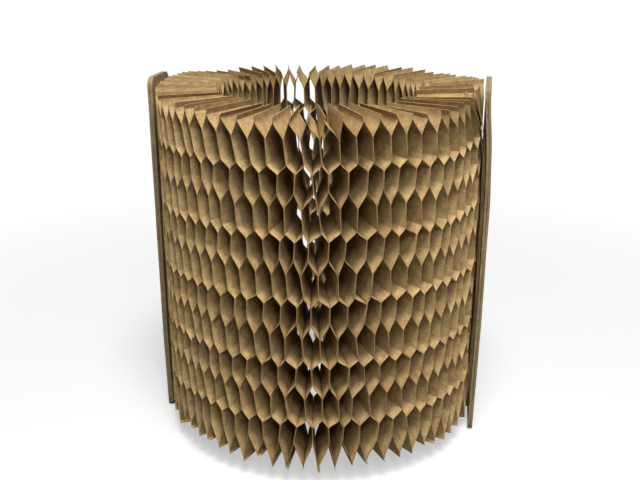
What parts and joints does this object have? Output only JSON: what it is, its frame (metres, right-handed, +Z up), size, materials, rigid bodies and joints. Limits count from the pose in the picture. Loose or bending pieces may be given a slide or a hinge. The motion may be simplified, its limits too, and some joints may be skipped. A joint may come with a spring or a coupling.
{
  "type": "honeycomb paper sleeve",
  "caption": "Ring of folded kraft paper leaves that open into six-sided cells, closed by two stiff cover cards, put round a jar as packing.",
  "frame": {"origin": "on the surface it stands on, under the middle of its box", "axes": "+Z up along the jar's axis, -Y towards the front of the picture, +X to the right"},
  "size_m": [0.1158, 0.1118, 0.123],
  "materials": {
    "honeycomb_paper": "uncoated kraft paper",
    "cover_card": "uncoated kraft board"
  },
  "bodies": {
    "root": {"front_honeycomb": "honeycomb_paper", "back_honeycomb": "honeycomb_paper", "left_cover_card": "cover_card", "right_cover_card": "cover_card"}
  },
  "joints": []
}
